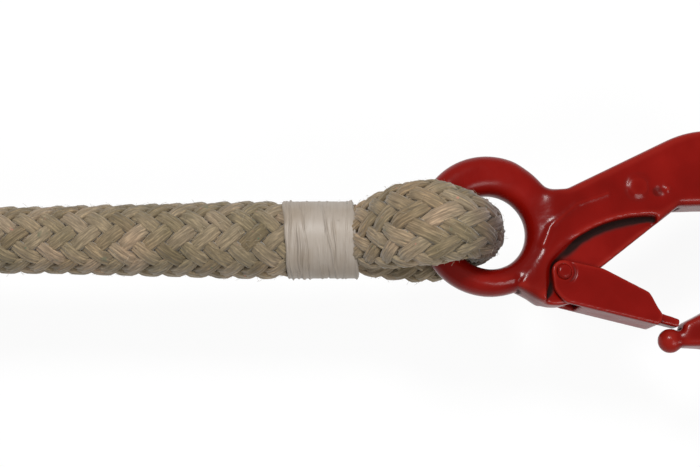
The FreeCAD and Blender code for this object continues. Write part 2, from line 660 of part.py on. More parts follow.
shapes = assembly()
shift = centred(shapes)
os.makedirs("parts", exist_ok=True)
for name, shape in shapes.items():
    shape.exportStep("parts/" + name + ".step")
    print(name, "valid", shape.isValid(), "solids", len(shape.Solids),
          "volume", round(shape.Volume))
print("swing axis", round(shift.x, 3), round(shift.y, 3), round(SWING_HEIGHT + shift.z, 3))
print("bends of the rope, radius to the middle", CROWN_RADIUS, FAR_BEND_RADIUS)
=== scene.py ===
import bpy
import bmesh
import json
import math
import random
import numpy as np
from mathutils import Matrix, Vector


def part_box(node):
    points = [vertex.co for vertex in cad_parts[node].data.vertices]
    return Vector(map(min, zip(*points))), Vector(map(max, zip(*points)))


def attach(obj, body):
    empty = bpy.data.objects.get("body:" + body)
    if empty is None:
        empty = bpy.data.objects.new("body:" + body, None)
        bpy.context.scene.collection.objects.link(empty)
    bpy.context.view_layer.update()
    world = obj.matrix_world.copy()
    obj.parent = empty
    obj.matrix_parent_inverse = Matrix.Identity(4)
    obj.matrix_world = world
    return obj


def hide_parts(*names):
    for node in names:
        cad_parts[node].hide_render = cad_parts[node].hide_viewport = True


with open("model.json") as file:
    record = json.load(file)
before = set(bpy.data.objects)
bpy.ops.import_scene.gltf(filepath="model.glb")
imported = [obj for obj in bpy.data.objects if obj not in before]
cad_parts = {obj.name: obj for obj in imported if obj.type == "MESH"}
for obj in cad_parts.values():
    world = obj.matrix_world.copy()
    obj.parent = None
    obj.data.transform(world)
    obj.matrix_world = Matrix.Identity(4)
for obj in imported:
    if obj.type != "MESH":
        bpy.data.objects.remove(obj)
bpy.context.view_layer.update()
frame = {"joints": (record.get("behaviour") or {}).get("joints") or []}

# A soft eye spliced in a braided rope, taped at its throat, holding a red enamelled
# safety hook by its ring. The construction's frame gives the places, in metres.

MM = 0.001

# ---------------------------------------------------------------- places from the frame

STANDING_LOW, STANDING_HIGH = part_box("rope_standing")
THROAT_X = STANDING_HIGH[0]
FAR_THROAT_X = STANDING_LOW[0]
ROPE_Y = (STANDING_LOW[1] + STANDING_HIGH[1]) / 2
ROPE_Z = (STANDING_LOW[2] + STANDING_HIGH[2]) / 2
TAPE_START_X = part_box("seizing_tape")[0][0]
JOINTS = {joint["name"]: joint for joint in frame["joints"]}
BAR = Vector(JOINTS["hook_swing"]["pos_m"])
PIN = Vector(JOINTS["gate_hinge"]["pos_m"])
HOOK_UP = Vector(JOINTS["gate_hinge"]["axis"]).normalized()
HOOK_ALONG = Vector((HOOK_UP.z, 0, -HOOK_UP.x))
CROWN_END_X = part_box("eye_crown")[1][0]

# ---------------------------------------------------------------- the rope's sizes

ROPE_RADIUS = 12.0 * MM
SPLICE_RADIUS = 14.0 * MM
TAPED_RADIUS = 13.1 * MM
TAIL_LENGTH = 112.0 * MM
FAR_TAIL_LENGTH = 60.0 * MM
SHOULDER_LENGTH = 8.0 * MM
LEG_HALF_WIDTH = 12.6 * MM
LEG_HALF_DEPTH = 6.6 * MM
LEG_OFFSET = 6.75 * MM
THROAT_SQUEEZE = 0.86            # of a leg's section, where the tape grips it
THROAT_FLARE = 7.0 * MM
CROWN_HALF_WIDTH = 15.0 * MM
CROWN_HOLE_HALF_WIDTH = 10.5 * MM   # squeezed, in the ring's hole
CROWN_HALF_DEPTH = 8.75 * MM
CROWN_RADIUS = 15.65 * MM
CROWN_ASIDE = 0.7 * MM           # towards the middle of the ring's hole
LEG_SPREAD_LENGTH = 24.0 * MM
BEND_SPANS = 6                   # of the rope's middle line, round each bend
LINE_ORDER = 3
LINE_RESOLUTION = 40
FAR_HALF_WIDTH = 12.0 * MM
FAR_HALF_DEPTH = 10.0 * MM
FAR_BEND_RADIUS = 28.0 * MM
FAR_REACH = 60.0 * MM
FAR_SPREAD_LENGTH = 45.0 * MM

# ---------------------------------------------------------------- the braid

STRANDS_EACH_WAY = 12
STRAND_LAY = 100.0 * MM          # along the rope, for one turn round it
STRAND_RELIEF = 1.65 * MM        # a strand's drop from over to under
STRAND_CROWN = 1.5 * MM          # its rounded top
STRAND_FULLNESS = 1.15           # width over the braid, as a share of its pitch
STRAND_PINCH = 0.17              # narrower where it dives under
FLOAT_FLATNESS = 1.5             # how long a strand stays up on its two crossings
YARN_GROOVE = 0.30               # depth between its three yarns, as a share of the crown
STRAND_BULGE = 0.8               # smaller is fuller at the sides of its rounded top
WIDTH_WANDER = 0.07              # unevenness of a strand's width
SIDE_WANDER = 0.35 * MM
LIFT_WANDER = 0.12 * MM
WANDER_RATES = (95, 210, 430)    # of three waves along a strand, each metre
WANDER_SHARES = (1.0, 0.7, 0.4)
YARN_MAP_WIDTH = 5.0 * MM        # of one strand, on its fibres' map
YARN_MAP_SPREAD = 40             # so that no two strands share a map
STEP = 1.3 * MM                  # of the mesh, along the rope
UPPER_POINTS = 13                # of a strand's section, across its top
UNDER_POINTS = (0.32, 0.0, -0.32)
UNDER_DROP = -0.35
GIRTH_POINTS = 145
CORE_SINK = 2.6 * MM             # painted shade inside, under the strands
CORE_SIDES = 32
PAINTED_SHADE_CORE_MARK = -1.0                # marks it for its material, which paints it dark as shade

FUZZ_DENSITY = 115000.0          # loose fibres, each square metre
FUZZ_LENGTH = 2.6 * MM
FUZZ_RADIUS = 0.045 * MM
FUZZ_TILT = 0.25                 # either way, in radians
FUZZ_SHORTEST = 0.35             # as a share of the longest
FUZZ_LEAN = 0.22                 # how high a fibre stands, as a share of its length
LOWEST = 0.02 * MM               # nothing soft hangs below this


def smoothstep(low, high, value):
    share = np.clip((value - low) / (high - low), 0.0, 1.0)
    return share * share * (3 - 2 * share)


def lengths_of(points):
    steps = np.linalg.norm(np.diff(points, axis=0), axis=1)
    return np.concatenate([[0.0], np.cumsum(steps)])


def unit(vectors):
    return vectors / np.linalg.norm(vectors, axis=-1, keepdims=True)


def show(name, mesh):
    piece = bpy.data.objects.new(name, mesh)
    bpy.context.scene.collection.objects.link(piece)
    return piece


def pressed_flat(mesh):
    """Flattens what would hang below the level that the rope lies on."""
    places = np.empty(len(mesh.vertices) * 3, dtype=np.float32)
    mesh.vertices.foreach_get("co", places)
    places = places.reshape(-1, 3)
    places[:, 2] = np.maximum(places[:, 2], LOWEST)
    mesh.vertices.foreach_set("co", places.ravel())
    mesh.update()


def plain_mesh(piece, name):
    """The piece with its modifiers worked into one plain mesh."""
    bpy.context.view_layer.update()
    depsgraph = bpy.context.evaluated_depsgraph_get()
    mesh = bpy.data.meshes.new_from_object(piece.evaluated_get(depsgraph))
    mesh.name = name
    return mesh


# ---------------------------------------------------------------- routes of the rope

def spline_points(controls):
    """Points along the smooth line that a rope takes through its control points."""
    curve = bpy.data.curves.new("rope_line", "CURVE")
    curve.dimensions = "3D"
    curve.resolution_u = LINE_RESOLUTION
    spline = curve.splines.new("NURBS")
    spline.points.add(len(controls) - 1)
    for point, place in zip(spline.points, controls):
        point.co = (*place, 1.0)
    spline.order_u = LINE_ORDER
    spline.use_endpoint_u = True
    line = show("rope_line", curve)
    mesh = plain_mesh(line, "rope_line")
    points = np.array([vertex.co[:] for vertex in mesh.vertices])
    bpy.data.objects.remove(line)
    bpy.data.meshes.remove(mesh)
    return even_steps(points)


def even_steps(points):
    along = lengths_of(points)
    count = int(round(along[-1] / STEP)) + 1
    at = np.linspace(0, along[-1], count)
    return np.stack([np.interp(at, along, points[:, axis]) for axis in range(3)], axis=1)


class Route:
    """The rope's middle line, with the two half sizes of its section all along."""

    def __init__(self, points, wide_axis, half_wide, half_deep):
        self.points = points
        self.distance = lengths_of(points)
        forward = unit(np.gradient(points, axis=0))
        wide = np.tile(np.array(wide_axis, float), (len(points), 1))
        wide -= forward * (wide * forward).sum(1)[:, None]
        self.forward = forward
        self.wide = unit(wide)
        self.deep = np.cross(self.wide, forward)
        self.half_wide = half_wide
        self.half_deep = half_deep
        self.angles, self.shares, self.girth = self.measure_round()

    def measure_round(self):
        """How far round each section an angle is, as a share of the girth."""
        angles = np.linspace(0, 2 * math.pi, GIRTH_POINTS)
        x = self.half_wide[:, None] * np.cos(angles)
        y = self.half_deep[:, None] * np.sin(angles)
        steps = np.hypot(np.diff(x, axis=1), np.diff(y, axis=1))
        round_to = np.concatenate([np.zeros((len(x), 1)), np.cumsum(steps, axis=1)], axis=1)
        girth = round_to[:, -1]
        return angles, round_to / girth[:, None], girth

    def angle_at(self, share):
        """Angles at a share of the girth, for a grid of places along and across."""
        turns = np.floor(share)
        inside = share - turns
        angle = np.empty_like(inside)
        for row in range(len(inside)):
            angle[row] = np.interp(inside[row], self.shares[row], self.angles)
        return angle

    def place(self, share, height):
        """Points round the rope, at a height over its surface."""
        angle = self.angle_at(share)
        cosine = np.cos(angle)
        sine = np.sin(angle)
        slope_x = cosine / self.half_wide[:, None]
        slope_y = sine / self.half_deep[:, None]
        size = np.hypot(slope_x, slope_y)
        x = self.half_wide[:, None] * cosine + height * slope_x / size
        y = self.half_deep[:, None] * sine + height * slope_y / size
        return (self.points[:, None, :] + self.wide[:, None, :] * x[:, :, None]
                + self.deep[:, None, :] * y[:, :, None])


def standing_route():
    """The straight stretch between the two throats, fuller where a tail is buried."""
    run = FAR_THROAT_X - THROAT_X
    shares = (0.0, 0.22, 0.47, 0.74, 1.0)
    points = spline_points([(THROAT_X + run * share, ROPE_Y, ROPE_Z) for share in shares])
    tape_length = THROAT_X - TAPE_START_X
    shoulder = tape_length + SHOULDER_LENGTH
    places = [FAR_THROAT_X, FAR_THROAT_X + tape_length, FAR_THROAT_X + shoulder,
              FAR_THROAT_X + FAR_TAIL_LENGTH, THROAT_X - TAIL_LENGTH,
              THROAT_X - shoulder, TAPE_START_X, THROAT_X]
    radii = [TAPED_RADIUS, TAPED_RADIUS, SPLICE_RADIUS, ROPE_RADIUS,
             ROPE_RADIUS, SPLICE_RADIUS, TAPED_RADIUS, TAPED_RADIUS]
    radius = np.interp(points[:, 0], places, radii)
    return Route(points, (0, 1, 0), radius, radius)


def loop_points(centre, axis_x, axis_y, radius, throats, spans):
    """Out of one throat, round a bend and back to the other, on one smooth line."""
    angles = []
    for throat, side in zip(throats, (1, -1)):
        run = np.array(throat) - centre
        x = float(run @ axis_x)
        y = float(run @ axis_y)
        angles.append(math.atan2(y, x) - side * math.acos(radius / math.hypot(x, y)))
    first, last = angles
    while last > first:
        last -= 2 * math.pi
    step = (last - first) / spans
    reach = radius / math.cos(step / 2)

    def at(angle, distance):
        return centre + distance * (math.cos(angle) * axis_x + math.sin(angle) * axis_y)

    bend = [at(first + step * (number + 0.5), reach) for number in range(spans)]
    leave = 2 * at(first, radius) - bend[0]
    arrive = 2 * at(last, radius) - bend[-1]
    return spline_points([throats[0], leave, *bend, arrive, throats[1]])


def leg_share(points, throats, length):
    nearest = np.minimum(*[np.linalg.norm(points - np.array(throat), axis=1) for throat in throats])
    grip = THROAT_SQUEEZE + (1 - THROAT_SQUEEZE) * smoothstep(0, THROAT_FLARE, nearest)
    return smoothstep(0, length, nearest), grip


def eye_route():
    """The eye that holds the hook, in an upright plane."""
    centre = np.array([BAR.x, ROPE_Y, BAR.z])
    throats = [(THROAT_X, ROPE_Y, ROPE_Z + LEG_OFFSET), (THROAT_X, ROPE_Y, ROPE_Z - LEG_OFFSET)]
    points = loop_points(centre, np.array([1.0, 0, 0]), np.array([0, 0, 1.0]),
                         CROWN_RADIUS, throats, BEND_SPANS)
    away = points - centre
    in_hole = np.clip(away[:, 0] / CROWN_RADIUS, 0, 1)
    spread, grip = leg_share(points, throats, LEG_SPREAD_LENGTH)
    points[:, 1] += CROWN_ASIDE * spread
    half_wide = LEG_HALF_WIDTH + (CROWN_HALF_WIDTH - LEG_HALF_WIDTH) * spread
    half_wide -= (CROWN_HALF_WIDTH - CROWN_HOLE_HALF_WIDTH) * in_hole
    half_deep = LEG_HALF_DEPTH + (CROWN_HALF_DEPTH - LEG_HALF_DEPTH) * spread
    return Route(points, (0, 1, 0), half_wide * grip, half_deep * grip)


def far_route():
    """The plain eye at the other end, lying flat."""
    centre = np.array([FAR_THROAT_X - FAR_REACH, ROPE_Y, FAR_HALF_WIDTH])
    throats = [(FAR_THROAT_X, ROPE_Y - LEG_OFFSET, ROPE_Z), (FAR_THROAT_X, ROPE_Y + LEG_OFFSET, ROPE_Z)]
    level = [(x, y, FAR_HALF_WIDTH) for x, y, _ in throats]
    points = loop_points(centre, np.array([-1.0, 0, 0]), np.array([0, 1.0, 0]),
                         FAR_BEND_RADIUS, level[::-1], BEND_SPANS)
    spread, grip = leg_share(points, level, FAR_SPREAD_LENGTH)
    points[:, 2] += (ROPE_Z - FAR_HALF_WIDTH) * (1 - spread)
    half_wide = LEG_HALF_WIDTH + (FAR_HALF_WIDTH - LEG_HALF_WIDTH) * spread
    half_deep = LEG_HALF_DEPTH + (FAR_HALF_DEPTH - LEG_HALF_DEPTH) * spread
    return Route(points, (0, 0, 1), half_wide * grip, half_deep * grip)


# ---------------------------------------------------------------- braiding

def strand_section():
    """A strand's section: three yarns side by side, crowned on top and flat below."""
    across = np.linspace(-0.5, 0.5, UPPER_POINTS)
    crown = np.sqrt(np.clip(1 - (2 * across) ** 2, 0, 1)) ** STRAND_BULGE
    groove = 0.5 + 0.5 * np.cos(6 * math.pi * (across + 0.5))
    top = crown * (1 - YARN_GROOVE * groove)
    under = np.full(len(UNDER_POINTS), UNDER_DROP)
    return np.concatenate([across, UNDER_POINTS]), np.concatenate([top, under])


def woven_height(crossing, flip):
    """1 where a strand passes over two of the others, -1 where it passes under two."""
    wave = np.cos(crossing * math.pi / 2) * FLOAT_FLATNESS
    return np.clip(wave, -1, 1) * (-1 if flip else 1)


def slow_wander(distance, chance, size):
    """A small unevenness along a strand."""
    phases = [chance.random() * 2 * math.pi for _ in WANDER_RATES]
    waves = [share * np.sin(distance * rate + phase)
             for share, rate, phase in zip(WANDER_SHARES, WANDER_RATES, phases)]
    return size * sum(waves) / sum(WANDER_SHARES)


def tube_faces(rings, sides, base):
    ring, side = np.meshgrid(np.arange(rings - 1), np.arange(sides), indexing="ij")
    following = (side + 1) % sides
    corners = [ring * sides + side, ring * sides + following,
               (ring + 1) * sides + following, (ring + 1) * sides + side]
    faces = (np.stack(corners, axis=-1).reshape(-1, 4) + base).tolist()
    faces.append((np.arange(sides)[::-1] + base).tolist())
    faces.append((np.arange(sides) + base + (rings - 1) * sides).tolist())
    return faces


def strand(route, direction, number, chance, flip, section):
    """Points of one strand, its rings along the rope by its section's points."""
    across, top = section
    rate = 2 * STRANDS_EACH_WAY / STRAND_LAY
    if direction > 0:
        crossing = route.distance * rate + 2 * number - 0.5
    else:
        crossing = route.distance * rate - 2 * number + 2.5
    height = woven_height(crossing, flip)
    width = STRAND_FULLNESS - STRAND_PINCH * (1 - height) / 2
    width = width * (1 + slow_wander(route.distance, chance, WIDTH_WANDER))
    middle = number / STRANDS_EACH_WAY + direction * route.distance / STRAND_LAY
    middle = middle + slow_wander(route.distance, chance, SIDE_WANDER) / route.girth
    share = middle[:, None] + across[None, :] * (width / STRANDS_EACH_WAY)[:, None]
    lift = (height - 1) / 2 * STRAND_RELIEF + slow_wander(route.distance, chance, LIFT_WANDER)
    raised = lift[:, None] + (top[None, :] - 1) * STRAND_CROWN
    return route.place(share, raised)


def braid(name, route, seed, flip):
    """A hollow braid of flat strands, two over and two under."""
    chance = random.Random(seed)
    section = strand_section()
    sides = len(section[0])
    rings = len(route.distance)
    vertices = []
    faces = []
    shades = []
    yarn_places = []
    for direction in (1, -1):
        for number in range(STRANDS_EACH_WAY):
            points = strand(route, direction, number, chance, flip, section)
            if direction < 0:
                points = points[:, ::-1]
            faces += tube_faces(rings, sides, len(vertices) * rings * sides)
            vertices.append(points.reshape(-1, 3))
            shades.append(np.full(rings * sides, chance.random()))
            along = np.repeat(route.distance + chance.random(), sides)
            side_at = np.tile(section[0][::direction], rings) + chance.random() * YARN_MAP_SPREAD
            yarn_places.append(np.stack([along, side_at * YARN_MAP_WIDTH], axis=1))
    add_painted_shade_core(route, vertices, faces, shades, yarn_places, rings * sides)
    mesh = bpy.data.meshes.new(name)
    mesh.from_pydata(np.concatenate(vertices).tolist(), [], faces)
    mesh.shade_smooth()
    shade = mesh.attributes.new("strand_shade", "FLOAT", "POINT")
    shade.data.foreach_set("value", np.concatenate(shades))
    corner_points = np.empty(len(mesh.loops), dtype=int)
    mesh.loops.foreach_get("vertex_index", corner_points)
    yarn_map = mesh.uv_layers.new(name="yarn")
    yarn_map.data.foreach_set("uv", np.concatenate(yarn_places)[corner_points].reshape(-1))
    outward_normals(mesh)
    pressed_flat(mesh)
    return show(name, mesh)


def add_painted_shade_core(route, vertices, faces, shades, yarn_places, strand_size):
    """A dark core under the braid: painted shade, seen between the strands."""
    sides = CORE_SIDES
    rings = len(route.distance)
    share = np.tile(np.arange(sides) / sides, (rings, 1))
    points = route.place(share, np.full((rings, sides), -CORE_SINK))
    faces += tube_faces(rings, sides, len(vertices) * strand_size)
    vertices.append(points.reshape(-1, 3))
    shades.append(np.full(rings * sides, PAINTED_SHADE_CORE_MARK))
    yarn_places.append(np.zeros((rings * sides, 2)))


def outward_normals(mesh):
    shape = bmesh.new()
    shape.from_mesh(mesh)
    bmesh.ops.recalc_face_normals(shape, faces=shape.faces)
    shape.to_mesh(mesh)
    shape.free()


# ---------------------------------------------------------------- loose fibres

def fuzz_tree(material):
    """Short bent fibres stood on a surface; density, length and thickness are inputs."""
    tree = bpy.data.node_groups.new("loose_fibres", "GeometryNodeTree")
    sockets = tree.interface
    sockets.new_socket("Geometry", in_out="INPUT", socket_type="NodeSocketGeometry")
    for label in ("Density", "Length", "Radius"):
        sockets.new_socket(label, in_out="INPUT", socket_type="NodeSocketFloat")
    sockets.new_socket("Geometry", in_out="OUTPUT", socket_type="NodeSocketGeometry")
    add = tree.nodes.new
    link = tree.links.new
    given = add("NodeGroupInput")
    result = add("NodeGroupOutput")

    scatter = add("GeometryNodeDistributePointsOnFaces")
    scatter.inputs["Seed"].default_value = 7
    link(given.outputs["Geometry"], scatter.inputs["Mesh"])
    link(given.outputs["Density"], scatter.inputs["Density"])

    bow = add("GeometryNodeCurveQuadraticBezier")
    bow.inputs["Resolution"].default_value = 3
    bow.inputs["Start"].default_value = (0, 0, 0)
    bow.inputs["Middle"].default_value = (0.4, 0, FUZZ_LEAN)
    bow.inputs["End"].default_value = (1.0, 0.25, FUZZ_LEAN / 2)
    sized = add("GeometryNodeTransform")
    scale = add("ShaderNodeCombineXYZ")
    for axis in ("X", "Y", "Z"):
        link(given.outputs["Length"], scale.inputs[axis])
    link(bow.outputs["Curve"], sized.inputs["Geometry"])
    link(scale.outputs["Vector"], sized.inputs["Scale"])
    ring = add("GeometryNodeCurvePrimitiveCircle")
    ring.inputs["Resolution"].default_value = 3
    link(given.outputs["Radius"], ring.inputs["Radius"])
    fibre = add("GeometryNodeCurveToMesh")
    fibre.inputs["Fill Caps"].default_value = True
    link(sized.outputs["Geometry"], fibre.inputs["Curve"])
    link(ring.outputs["Curve"], fibre.inputs["Profile Curve"])

    spin = add("FunctionNodeRandomValue")
    spin.data_type = "FLOAT_VECTOR"
    spin.inputs["Min"].default_value = (-FUZZ_TILT, -FUZZ_TILT, 0)
    spin.inputs["Max"].default_value = (FUZZ_TILT, FUZZ_TILT, 2 * math.pi)
    spin.inputs["Seed"].default_value = 3
    turn = add("FunctionNodeRotateRotation")
    turn.rotation_space = "LOCAL"
    link(scatter.outputs["Rotation"], turn.inputs["Rotation"])
    link(spin.outputs["Value"], turn.inputs["Rotate By"])
    size = add("FunctionNodeRandomValue")
    size.inputs["Min"].default_value = FUZZ_SHORTEST
    size.inputs["Max"].default_value = 1.0
    size.inputs["Seed"].default_value = 5
    place = add("GeometryNodeInstanceOnPoints")
    link(scatter.outputs["Points"], place.inputs["Points"])
    link(fibre.outputs["Mesh"], place.inputs["Instance"])
    link(turn.outputs["Rotation"], place.inputs["Rotation"])
    link(size.outputs["Value"], place.inputs["Scale"])
    realize = add("GeometryNodeRealizeInstances")
    finish = add("GeometryNodeSetMaterial")
    finish.inputs["Material"].default_value = material
    link(place.outputs["Instances"], realize.inputs["Geometry"])
    link(realize.outputs["Geometry"], finish.inputs["Geometry"])
    link(finish.outputs["Geometry"], result.inputs["Geometry"])
    return tree


def fuzz(name, source, tree):
    """Loose fibres all over a piece of braid, as a plain mesh of their own."""
    carrier = show(name + "_carrier", source.data.copy())
    modifier = carrier.modifiers.new("fibres", "NODES")
    modifier.node_group = tree
    values = {"Density": FUZZ_DENSITY, "Length": FUZZ_LENGTH, "Radius": FUZZ_RADIUS}
    for item in tree.interface.items_tree:
        if item.in_out == "INPUT" and item.name in values:
            modifier[item.identifier] = values[item.name]
    mesh = plain_mesh(carrier, name)
    pressed_flat(mesh)
    bpy.data.objects.remove(carrier)
    return show(name, mesh)


# ---------------------------------------------------------------- tape

TAPE_INNER = 13.15 * MM
TAPE_THICKNESS = 0.5 * MM
TAPE_LEAN = 1.1 * MM             # its edges lean, from one side of the rope to the other
TAPE_ROLL = 0.5 * MM
TAPE_ROLL_WIDTH = 0.9 * MM
TAPE_RINGS = 150
TAPE_SIDES = 200
TAPE_EDGE_FADE = 0.5 * MM
TAPE_EDGE_SHARE = 0.35           # of its thickness, at the very edges
WRINKLES = 22
WRINKLE_PLACE = (0.02, 0.98)     # along the tape
WRINKLE_SLANT = 0.30 * MM        # each radian round
STEEP_SLANT = 3.4 * MM           # every third one's, at most
WRINKLE_REACH = (0.5, 1.6)       # round the rope, in radians
WRINKLE_BEND = 0.25 * MM
WRINKLE_WIDTH = (0.18 * MM, 0.45 * MM)
WRINKLE_HEIGHT = (0.20 * MM, 0.60 * MM)
RIDGE_SHARE = 0.6                # the others are furrows
FURROW = -0.75                   # as a share of a ridge's height
LAP_STEP = 0.18 * MM             # where one turn of tape starts over another
LAP_TURNS = 3.5
LAP_WIDTH = 0.97
ROLL_WAVE = 0.25
LIP_PLACE = 0.5 * MM             # a faint ridge at the rope's side
LIP_WIDTH = 0.35 * MM
LIP_HEIGHT = 0.18 * MM
EDGE_WAVE = 0.22 * MM            # the cut edges wander twice round the rope
EDGE_RIPPLE = 0.12 * MM


def tape_relief(x, angle, length, seed):
    """Wrinkles that run round the tape, some slanting, and its rolled edge."""
    chance = random.Random(seed)
    relief = np.zeros_like(x)
    for number in range(WRINKLES):
        middle = chance.uniform(*WRINKLE_PLACE) * length
        steep = number % 3 == 0
        slant = chance.uniform(-STEEP_SLANT, STEEP_SLANT) if steep else chance.gauss(0, WRINKLE_SLANT)
        centre_angle = chance.uniform(-math.pi, math.pi)
        reach = chance.uniform(*WRINKLE_REACH)
        away = np.angle(np.exp(1j * (angle - centre_angle)))
        line = middle + slant * away + WRINKLE_BEND * np.sin(3 * away + number)
        width = chance.uniform(*WRINKLE_WIDTH)
        height = chance.uniform(*WRINKLE_HEIGHT) * (1 if chance.random() < RIDGE_SHARE else FURROW)
        window = np.exp(-(away / reach) ** 4)
        relief += height * window * np.exp(-((x - line) / width) ** 2)
    lap = LAP_STEP * (np.sin(angle + x / length * LAP_TURNS * 2 * math.pi) > LAP_WIDTH)
    roll = np.exp(-((x - length + TAPE_ROLL_WIDTH * 0.6) / (TAPE_ROLL_WIDTH * 0.5)) ** 2)
    roll = roll * (1 + ROLL_WAVE * np.sin(5 * angle))
    lip = np.exp(-((x - LIP_PLACE) / LIP_WIDTH) ** 2)
    return relief + lap + TAPE_ROLL * roll + LIP_HEIGHT * lip


def tape(name, start_x, length, flipped, seed):
    """A wound, crumpled sleeve of tape; its roll is at the eye's side."""
    angle = np.linspace(-math.pi, math.pi, TAPE_SIDES, endpoint=False)[None, :]
    x = np.linspace(0, length, TAPE_RINGS)[:, None]
    x_grid, angle_grid = np.broadcast_arrays(x, angle)
    relief = tape_relief(x_grid, angle_grid, length, seed)
    fade = smoothstep(0, TAPE_EDGE_FADE, np.minimum(x_grid, length - x_grid))
    thickness = TAPE_THICKNESS * (TAPE_EDGE_SHARE + (1 - TAPE_EDGE_SHARE) * fade)
    outer = TAPE_INNER + thickness + relief * fade
    inner = np.full_like(outer, TAPE_INNER)
    radius = np.concatenate([outer, inner[::-1]])
    along = np.concatenate([x_grid, x_grid[::-1]])
    angles = np.concatenate([angle_grid, angle_grid])
    along = start_x + (length - along if flipped else along)
    edge_wave = EDGE_WAVE * np.sin(2 * angles + seed) + EDGE_RIPPLE * np.sin(7 * angles)
    along = along - TAPE_LEAN * np.cos(angles) + edge_wave
    points = np.stack([along, ROPE_Y + radius * np.cos(angles), ROPE_Z + radius * np.sin(angles)],
                      axis=-1)
    rings = len(points)
    faces = tube_faces(rings, TAPE_SIDES, 0)[:-2]
    last = (rings - 1) * TAPE_SIDES
    for side in range(TAPE_SIDES):
        following = (side + 1) % TAPE_SIDES
        faces.append((last + side, last + following, following, side))
    mesh = bpy.data.meshes.new(name)
    mesh.from_pydata(points.reshape(-1, 3).tolist(), [], faces)
    mesh.shade_smooth()
    outward_normals(mesh)
    pressed_flat(mesh)
    return show(name, mesh)


# ---------------------------------------------------------------- enamelled steel

PIN_ALONG_HOOK = 24.7 * MM       # the gate's pin, from the middle of the ring's hole
PIN_ACROSS_HOOK = -14.4 * MM
RING_HOLE = PIN - HOOK_ALONG * PIN_ALONG_HOOK - Vector((0, PIN_ACROSS_HOOK, 0))
FORGING_BLEND_ROUNDS = 60
RELAX_SHARE = 0.6                # of the way to the middle of its neighbours, each round
BLEND_INSIDE = (14.0 * MM, 19.0 * MM)     # from the hole's middle, where the blend comes in
BLEND_OUTSIDE = (31.0 * MM, 26.0 * MM)    # and where it goes out
BLEND_ALONG = (8.0 * MM, 14.0 * MM)
RIB = [(17.5 * MM, -5.0 * MM), (20.5 * MM, 1.5 * MM), (30.0 * MM, 9.5 * MM), (41.0 * MM, 13.5 * MM)]
RIB_LEVEL = (4.5 * MM, 5.5 * MM)          # over the hook's middle
RIB_WIDTH = 1.1 * MM
RIB_HEIGHT = 0.45 * MM
WELD_DISTANCE = 0.002 * MM
FORM_ROUNDS = 60
HOLLOW_DEPTH = (0.05 * MM, 0.26 * MM)     # where the painted shade starts, and where it is darkest
CREST_HEIGHT = (0.15 * MM, 0.60 * MM)     # where the painted highlight starts, and where it is brightest
CREST_STRENGTH = 0.35
DEEP_LEVEL = (4.6 * MM, 5.8 * MM)         # over the hook's middle; the painted shade thins out between them
THINNER_HOLLOW_SHADE = 0.6
PIN_HEAD_RADIUS = 2.9 * MM
PIN_HEAD_LEVEL = (7.6 * MM, 8.2 * MM)     # over the hook's middle
PIN_BOSS_HEIGHT = 1.0 * MM
CRESCENT_RADIUS = 3.9 * MM       # a dent in the cheek, on the far side of the pin's head
CRESCENT_WIDTH = 0.55 * MM
CRESCENT_DEPTH = 0.55 * MM
CRESCENT_FADE = (0.0, 0.8)       # cosines of its ends' bearings and of where it is whole


def relaxed(places, edges, rounds):
    """The same points after each has moved towards its neighbours, some times over."""
    count = np.bincount(edges.ravel(), minlength=len(places))[:, None]
    for _ in range(rounds):
        total = np.zeros_like(places)
        np.add.at(total, edges[:, 0], places[edges[:, 1]])
        np.add.at(total, edges[:, 1], places[edges[:, 0]])
        places = (1 - RELAX_SHARE) * places + RELAX_SHARE * total / count
    return places


def in_hook_plane(places):
    """Each point's place along the hook, across it and over its middle, from the ring's hole."""
    away = places - np.array(RING_HOLE)
    return away @ np.array(HOOK_ALONG), away[:, 1], away @ np.array(HOOK_UP)


def forged_flow(places, edges):
    """Blends the ring into the arm, as a drop forging does, and raises a soft rib."""
    along, across, over = in_hook_plane(places)
    from_hole = np.hypot(along, across)
    near_joint = smoothstep(*BLEND_INSIDE, from_hole) * smoothstep(*BLEND_OUTSIDE, from_hole)
    near_joint = near_joint * smoothstep(*BLEND_ALONG, along)
    soft = relaxed(places, edges, FORGING_BLEND_ROUNDS)
    places = places + (soft - places) * near_joint[:, None]
    rib_height = np.zeros(len(places))
    for (x1, y1), (x2, y2) in zip(RIB, RIB[1:]):
        run = np.array([x2 - x1, y2 - y1])
        share = np.clip(((along - x1) * run[0] + (across - y1) * run[1]) / (run @ run), 0, 1)
        off = np.hypot(along - x1 - share * run[0], across - y1 - share * run[1])
        rib_height = np.maximum(rib_height, np.exp(-(off / RIB_WIDTH) ** 2))
    top = smoothstep(*RIB_LEVEL, np.abs(over)) * np.sign(over)
    return places + (rib_height * top * RIB_HEIGHT)[:, None] * np.array(HOOK_UP)


def about_pin(places):
    """Each point's distance from the pin's line, its bearing and its height over the hook's middle."""
    along, across, over = in_hook_plane(places)
    along = along - PIN_ALONG_HOOK
    across = across - PIN_ACROSS_HOOK
    return np.hypot(along, across), np.arctan2(across, along), over


def raised_boss(places, _):
    """The pin's ends, beaten up into round bosses."""
    off, _, over = about_pin(places)
    end = smoothstep(*PIN_HEAD_LEVEL, np.abs(over)) * np.sign(over)
    lift = PIN_BOSS_HEIGHT * np.clip(1 - (off / PIN_HEAD_RADIUS) ** 2, 0, 1)
    return places + (lift * end)[:, None] * np.array(HOOK_UP)


def dented_cheek(places, _):
    """A crescent dent beside each end of the pin."""
    off, bearing, over = about_pin(places)
    dent = CRESCENT_DEPTH * np.exp(-((off - CRESCENT_RADIUS) / CRESCENT_WIDTH) ** 2)
    dent = dent * smoothstep(*CRESCENT_FADE, np.cos(bearing))
    return places - (dent * np.sign(over))[:, None] * np.array(HOOK_UP)


